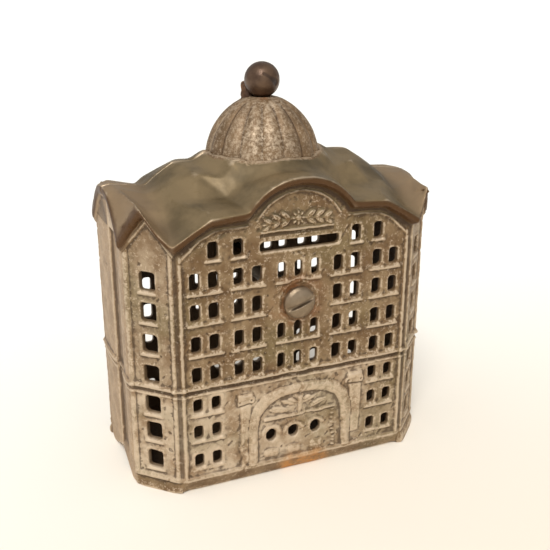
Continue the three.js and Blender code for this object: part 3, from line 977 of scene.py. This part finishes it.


# Dark brown for painted shade in hollows, under the eave lip and in the side channel, and for the worn strips
# by the upright edges
SHADE_AND_WEAR_BROWN = linear(64, 44, 25)
UMBER = linear(112, 85, 54)
BEIGE = linear(146, 122, 90)
PALE_UMBER = linear(150, 124, 94)
PALE_BEIGE = linear(200, 180, 154)
SILVER = linear(214, 194, 168)
ROOF_DARK = linear(88, 74, 49)
ROOF_LIGHT = linear(128, 109, 78)
ROOF_CORNER = linear(158, 132, 102)
# The roof's brown, darker as painted shade on the front and underside of the lip
LIP_SHADE = linear(84, 56, 26)
DOME_DARK = linear(100, 77, 50)
DOME_LIGHT = linear(128, 102, 72)
SIDE_DARK = linear(150, 124, 95)
SIDE_LIGHT = linear(176, 149, 118)
RUST = linear(136, 84, 42)
RUST_BRIGHT = linear(196, 136, 66)
GREEN = linear(112, 102, 64)
INSIDE = linear(112, 88, 62)
STEEL_DARK = linear(126, 110, 90)
STEEL_LIGHT = linear(150, 133, 112)
STEEL_RUST = linear(118, 88, 60)
BALL_DARK = linear(70, 50, 36)
BALL_LIGHT = linear(100, 78, 60)
BALL_FOOT = linear(62, 36, 18)
LUG_DARK = linear(52, 33, 19)
LUG_LIGHT = linear(112, 74, 40)
FOLD = linear(40, 28, 22)
PAPER = linear(254, 254, 251)
PAPER_CREAM = linear(242, 231, 212)

# Marks on the casting, two places each, in metres: the middle and how far the mark spreads; on the dome, a
# painted highlight on its near side and wear round its crown
SHEEN_AND_RUBBED_PLACES = (((-0.007, -0.017, 0.110), 0.015), ((-0.001, -0.005, 0.1205), 0.010))
RUSTY_PLACES = (((0, -HALF_DEPTH * MM, SCREW_Z * MM), 0.012), ((0, -0.003, 0.1225), 0.0055))
BRIGHT_RUST_PLACES = (((-0.001, -0.030, 0.001), 0.0075), ((0.007, -0.030, 0.001), 0.007))


def wall_colour(n, worn, speck):
    """Colour of the painted walls and the dome, with painted shade and highlights, and the share of them that
    is pale silver.
    """
    raised = n.attribute("raised")
    dome = n.attribute("dome")
    plain = n.attribute("plain")
    base = n.mix(n.attribute("pale"), n.mix(worn, UMBER, BEIGE), n.mix(worn, PALE_UMBER, PALE_BEIGE))
    base = n.mix(n.span(n.noise(42, 3, 0.5), 0.5, 0.68, 0.0, 0.4), base, GREEN)
    base = n.mix(dome, base, n.mix(worn, DOME_DARK, DOME_LIGHT))
    base = n.mix(plain, base, n.mix(worn, SIDE_DARK, SIDE_LIGHT))
    # painted shade in the sunken places, painted shade and worn brown where the shade mask says, pale silver
    # on the raised ones, partly worn bare and partly a painted highlight
    bright = n.math("SUBTRACT", 1.0, n.span(n.attribute("shade"), 0.0, 0.7, 0.0, 0.85), True)
    low = n.span(raised, 0.22, 0.48, 0.75, 0.0)
    ragged = n.math("ADD", raised, n.times(n.math("SUBTRACT", speck, 0.5), 0.3))
    high = n.times(n.span(ragged, 0.56, 0.84), bright, n.span(dome, 0.0, 1.0, 1.0, 0.45))
    base = n.mix(low, base, SHADE_AND_WEAR_BROWN)
    base = n.mix(n.math("SUBTRACT", 1.0, bright), base, SHADE_AND_WEAR_BROWN)
    base = n.mix(n.times(high, 0.75), base, SILVER)
    # specks of silver, fewer on the dome and the sides
    spotted = n.math("SUBTRACT", 1.0, n.times(n.math("ADD", plain, dome, True), 0.8))
    dusted = n.span(n.noise(110, 3, 0.5), 0.38, 0.62, 0.15, 0.6)
    specks = n.times(n.span(speck, 0.6, 1.0), dusted, bright)
    base = n.mix(n.times(specks, spotted), base, SILVER)
    # pale silver on the dome: a painted highlight on its near side, and rubbed bare round its crown
    sheen_and_rubbed = n.times(dome, n.span(n.noise(800, 5, 0.7), 0.42, 0.70, 0.0, 0.85), n.near_any(SHEEN_AND_RUBBED_PLACES))
    return n.mix(sheen_and_rubbed, base, SILVER), n.math("ADD", high, sheen_and_rubbed, True)


def roof_colour(n):
    """Colour of the roof: blotched, lighter towards its left and right ends, darker with painted shade on the
    lip, and pale silver on its edges, partly worn bare and partly a painted highlight.
    """
    lip = n.attribute("lip")
    tiles = n.mix(n.span(n.noise(58, 4, 0.55), 0.36, 0.64), ROOF_DARK, ROOF_LIGHT)
    # lighter towards the left and right ends of the roof
    toward_ends = n.span(n.math("ABSOLUTE", n.axis(0)), 0.036, 0.046, 0.0, 0.65)
    tiles = n.mix(toward_ends, tiles, ROOF_CORNER)
    tiles = n.mix(lip, tiles, LIP_SHADE)
    # pale silver on the raised edges: partly worn bare, partly a painted highlight
    edge = n.times(n.span(n.attribute("raised"), 0.66, 0.9), n.span(lip, 0.0, 1.0, 0.5, 0.12))
    return n.mix(edge, tiles, SILVER)


def casting_material():
    """Worn silver paint and rust on brown cast iron, with painted shade and painted highlights."""
    n = Nodes("cast_iron_worn")
    fine = n.noise(2600, 3, 0.7)
    grain = n.noise(900, 5, 0.65)
    patch = n.noise(150, 5)
    roof = n.attribute("roof")
    inside = n.attribute("inside")
    speck = n.span(n.math("ADD", n.times(grain, 0.6), n.times(fine, 0.4)), 0.44, 0.62)
    walls, silver = wall_colour(n, n.span(patch, 0.34, 0.66), speck)
    base = n.mix(roof, walls, roof_colour(n))
    rusty = n.times(n.near_any(RUSTY_PLACES), n.blotches(240, 4, 0.38, 0.62, 0.1, 0.85))
    base = n.mix(rusty, base, RUST)
    glow = n.times(n.near_any(BRIGHT_RUST_PLACES), n.blotches(300, 4, 0.35, 0.6, 0.2, 0.9))
    base = n.mix(glow, base, RUST_BRIGHT)
    base = n.mix(n.times(inside, 0.9), base, INSIDE)
    n.link(base, n.shader.inputs["Base Color"])
    metal = n.math("ADD", n.times(silver, 0.3), 0.3)
    metal = n.math("ADD", metal, n.times(roof, 0.15))
    clean = n.math("SUBTRACT", 1.0, n.math("ADD", rusty, inside, True))
    n.link(n.times(metal, clean), n.shader.inputs["Metallic"])
    rough = n.tree.nodes.new("ShaderNodeMix")
    n.link(roof, rough.inputs["Factor"])
    n.link(n.span(grain, 0.3, 0.7, 0.46, 0.68), rough.inputs["A"])
    n.link(n.span(patch, 0.3, 0.7, 0.40, 0.53), rough.inputs["B"])
    n.link(rough.outputs["Result"], n.shader.inputs["Roughness"])
    height = n.math("ADD", n.times(grain, 0.7), n.times(fine, 0.3))
    smoother = n.span(n.attribute("dome"), 0.0, 1.0, 1.0, 0.55)
    n.bump(n.times(height, n.span(roof, 0.0, 1.0, 1.0, 0.12), smoother), 0.7, 0.00035)
    return n.material


def steel_material():
    """Dull steel with faint rust."""
    n = Nodes("steel_worn")
    worn = n.noise(200)
    dull = n.mix(n.span(worn, 0.3, 0.7), STEEL_DARK, STEEL_LIGHT)
    dull = n.mix(n.span(n.noise(150, 3, 0.5), 0.56, 0.7, 0.0, 0.35), dull, STEEL_RUST)
    n.link(dull, n.shader.inputs["Base Color"])
    n.shader.inputs["Metallic"].default_value = 0.85
    n.link(n.span(worn, 0.3, 0.7, 0.34, 0.5), n.shader.inputs["Roughness"])
    n.bump(n.noise(1800), 0.35, 0.0002)
    return n.material


def ball_material():
    """Dark iron, brown at its foot, dark in the fold and rusty on the stub of the gate."""
    n = Nodes("finial_iron_dark")
    colour = n.mix(n.span(n.noise(160, 4, 0.55), 0.35, 0.65), BALL_DARK, BALL_LIGHT)
    low = n.span(n.axis(2), 0.1195, 0.1245, 1.0, 0.0)
    colour = n.mix(n.times(low, 0.8), colour, BALL_FOOT)
    lug = n.attribute("lug")
    colour = n.mix(lug, colour, n.mix(n.span(n.noise(700), 0.4, 0.6), LUG_DARK, LUG_LIGHT))
    colour = n.mix(n.times(n.attribute("mark"), 0.9), colour, FOLD)
    n.link(colour, n.shader.inputs["Base Color"])
    n.link(n.span(lug, 0.0, 1.0, 0.55, 0.1), n.shader.inputs["Metallic"])
    n.link(n.span(lug, 0.0, 1.0, 0.36, 0.75), n.shader.inputs["Roughness"])
    n.bump(n.noise(1500), 0.3, 0.00025)
    return n.material


# ---------------------------------------------------------------- stage, light and camera

CAMERA_LENS = 53.98
CAMERA_PLACE = (-0.10307, -0.24822, 0.15745)
CAMERA_DOWN = 19.93
CAMERA_TURN = 23.485
CAMERA_ROLL = 0.205
FLOOR_HALF = 6
CREAM_PLACE = (0.08, -0.38, 0)
CREAM_REACH = 0.62
KEY_DIRECTION = (0.36, 0.60, -1.0)
KEY_ANGLE = 22
KEY_ENERGY = 1.85
WINDOW_DIRECTION = (-0.62, -0.52, 0.35)
ROOM_DIMMEST = 0.36
ROOM_BRIGHTEST = 0.86


def camera():
    data = bpy.data.cameras.new("camera")
    data.lens = CAMERA_LENS
    data.sensor_width = 36
    data.clip_start = 0.01
    made = add_object("camera", data)
    made.location = CAMERA_PLACE
    aim = Euler((math.radians(90 - CAMERA_DOWN), 0, math.radians(-CAMERA_TURN))).to_matrix()
    made.rotation_euler = (aim @ Matrix.Rotation(math.radians(CAMERA_ROLL), 3, "Z")).to_euler()
    bpy.context.scene.camera = made


def floor():
    """A sheet of pale paper, creamier in front of the object."""
    mesh = bpy.data.meshes.new("floor")
    corners = [(x * FLOOR_HALF, y * FLOOR_HALF, 0) for x, y in ((-1, -1), (1, -1), (1, 1), (-1, 1))]
    mesh.from_pydata(corners, [], [(0, 1, 2, 3)])
    n = Nodes("paper")
    creamy = n.near(CREAM_PLACE, CREAM_REACH)
    n.link(n.mix(creamy, PAPER, PAPER_CREAM), n.shader.inputs["Base Color"])
    n.shader.inputs["Roughness"].default_value = 0.9
    n.shader.inputs["Specular IOR Level"].default_value = 0.1
    mesh.materials.append(n.material)
    add_object("floor", mesh)


def key_light():
    """One large soft light, high over the front left."""
    data = bpy.data.lights.new("key", "SUN")
    data.angle = math.radians(KEY_ANGLE)
    data.energy = KEY_ENERGY
    data.color = (1, 0.98, 0.95)
    made = add_object("key", data)
    made.rotation_euler = Vector(KEY_DIRECTION).to_track_quat("-Z", "Y").to_euler()


def sky():
    """A white room, brighter on the side of the window than behind the object."""
    world = bpy.data.worlds.new("room")
    bpy.context.scene.world = world
    world.use_nodes = True
    tree = world.node_tree
    shade = tree.nodes["Background"]
    place = tree.nodes.new("ShaderNodeTexCoord")
    toward = tree.nodes.new("ShaderNodeVectorMath")
    toward.operation = "DOT_PRODUCT"
    toward.inputs[1].default_value = WINDOW_DIRECTION
    tree.links.new(place.outputs["Generated"], toward.inputs[0])
    level = tree.nodes.new("ShaderNodeMapRange")
    tree.links.new(toward.outputs["Value"], level.inputs["Value"])
    set_range(level, -0.8, 0.8, ROOM_DIMMEST, ROOM_BRIGHTEST)
    tree.links.new(level.outputs["Result"], shade.inputs["Strength"])
    shade.inputs["Color"].default_value = (1, 0.99, 0.97, 1)


camera()
floor()
sky()
key_light()
bpy.context.scene.view_settings.view_transform = "Standard"

iron = casting_material()
steel = steel_material()
for cast in (shell("front_shell", True), shell("back_shell", False)):
    cast.data.materials.append(iron)
for made in (screw(), nut()):
    made.data.materials.append(steel)
ball().data.materials.append(ball_material())

bpy.context.view_layer.update()
